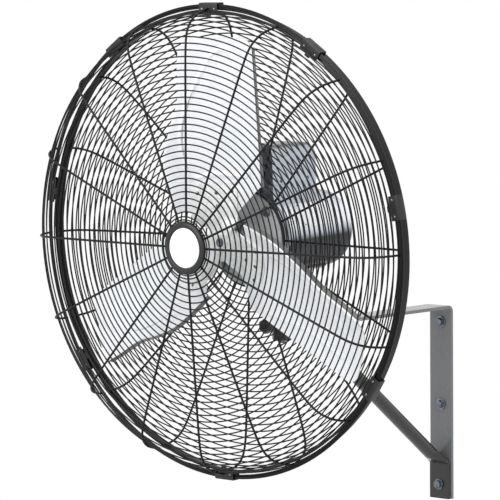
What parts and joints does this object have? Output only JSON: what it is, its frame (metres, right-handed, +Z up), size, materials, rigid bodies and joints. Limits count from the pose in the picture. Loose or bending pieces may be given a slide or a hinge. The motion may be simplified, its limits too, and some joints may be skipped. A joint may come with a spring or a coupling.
{
  "type": "wall mounted fan",
  "caption": "Wall mounted air circulator: a wire-guarded bladed head with motor and control box that pans and tilts on a bent flat-bar wall arm with a diagonal tube brace.",
  "frame": {"origin": "on the back face of the wall plate, on its centre line, midway between its upper two bolts", "axes": "+Z up, +Y into the wall, +X to the right of someone facing the wall; the fan blows toward -Y"},
  "size_m": [0.832, 0.722, 0.948],
  "materials": {
    "black_wire": "satin black coating",
    "black_plastic": "satin moulded black",
    "grey_bar": "satin grey",
    "dark_tube": "satin dark grey",
    "motor_paint": "smooth silver grey enamel",
    "bell_paint": "silver grey enamel on cast aluminium",
    "plated_steel": "bright zinc plating",
    "blade_aluminium": "mill finish sheet, faintly brushed",
    "plate_grey": "dull galvanised grey",
    "white_plastic": "smooth white, bare",
    "white_sheet": "bare white film",
    "copper": "varnished copper winding",
    "lamination": "stacked steel sheet"
  },
  "bodies": {
    "bracket": {"wall_arm": "grey_bar", "brace_tube": "dark_tube", "wall_bolt_1": "plated_steel", "wall_bolt_2": "plated_steel", "wall_bolt_3": "plated_steel", "brace_bolt": "plated_steel", "brace_nut": "plated_steel", "swivel_socket": "dark_tube"},
    "pan_clamp": {"pan_knob": "black_plastic"},
    "yoke": {"swivel_yoke": "dark_tube", "spigot_screw": "plated_steel", "tilt_bolt": "plated_steel"},
    "tilt_clamp": {"tilt_knob": "black_plastic"},
    "head": {"motor_saddle": "dark_tube", "saddle_screw_1": "plated_steel", "saddle_screw_2": "plated_steel", "motor_shell": "motor_paint", "front_bell": "bell_paint", "rear_bell": "bell_paint", "stator_core": "lamination", "front_winding": "copper", "rear_winding": "copper", "front_bearing": "plated_steel", "rear_bearing": "plated_steel", "box_base": "motor_paint", "box_cover": "motor_paint", "cover_screw_1": "plated_steel", "cover_screw_2": "plated_steel", "cord_gland": "black_plastic", "run_capacitor": "black_plastic", "speed_switch": "black_plastic", "label_plate": "white_sheet", "guard_plate": "plate_grey", "clamp_plate": "plate_grey", "guard_bolt_1": "plated_steel", "guard_bolt_2": "plated_steel", "guard_bolt_3": "plated_steel", "guard_bolt_4": "plated_steel", "front_guard": "black_wire", "rear_guard": "black_wire", "rim_band": "black_wire", "rim_clip_1": "black_plastic", "rim_clip_2": "black_plastic", "rim_clip_3": "black_plastic", "rim_clip_4": "black_plastic", "rim_clip_5": "black_plastic", "rim_clip_6": "black_plastic", "rim_clip_7": "black_plastic", "rim_clip_8": "black_plastic", "badge_ring": "black_plastic", "badge_disc": "white_plastic"},
    "speed_dial": {"speed_knob": "black_plastic"},
    "rotor": {"rotor_shaft": "plated_steel", "rotor_core": "lamination", "hub_spider": "plate_grey", "set_screw": "plated_steel", "blade_1": "blade_aluminium", "blade_2": "blade_aluminium", "blade_3": "blade_aluminium"}
  },
  "joints": [
    {"name": "head_pan", "type": "hinge", "parent": "bracket", "child": "yoke", "pos_m": [0, -0.463, 0.136], "axis": [0, 0, 1], "range_deg": [-60, 60]},
    {"name": "head_tilt", "type": "hinge", "parent": "yoke", "child": "head", "pos_m": [0, -0.463, 0.168], "axis": [1, 0, 0], "range_deg": [-30, 30]},
    {"name": "pan_knob_turn", "type": "hinge", "parent": "bracket", "child": "pan_clamp", "pos_m": [0, -0.491, 0.1154], "axis": [0, -1, 0], "range_deg": [0, 360]},
    {"name": "tilt_knob_turn", "type": "hinge", "parent": "yoke", "child": "tilt_clamp", "pos_m": [0.0246, -0.463, 0.168], "axis": [1, 0, 0], "range_deg": [0, 360]},
    {"name": "speed_select", "type": "hinge", "parent": "head", "child": "speed_dial", "pos_m": [0, -0.40954, 0.40212], "axis": [0, -0.9993, -0.0366], "range_deg": [0, 135]},
    {"name": "rotor_spin", "type": "hinge", "parent": "head", "child": "rotor", "pos_m": [0, -0.64091, 0.27155], "axis": [0, -0.9993, -0.0366], "continuous": true}
  ]
}
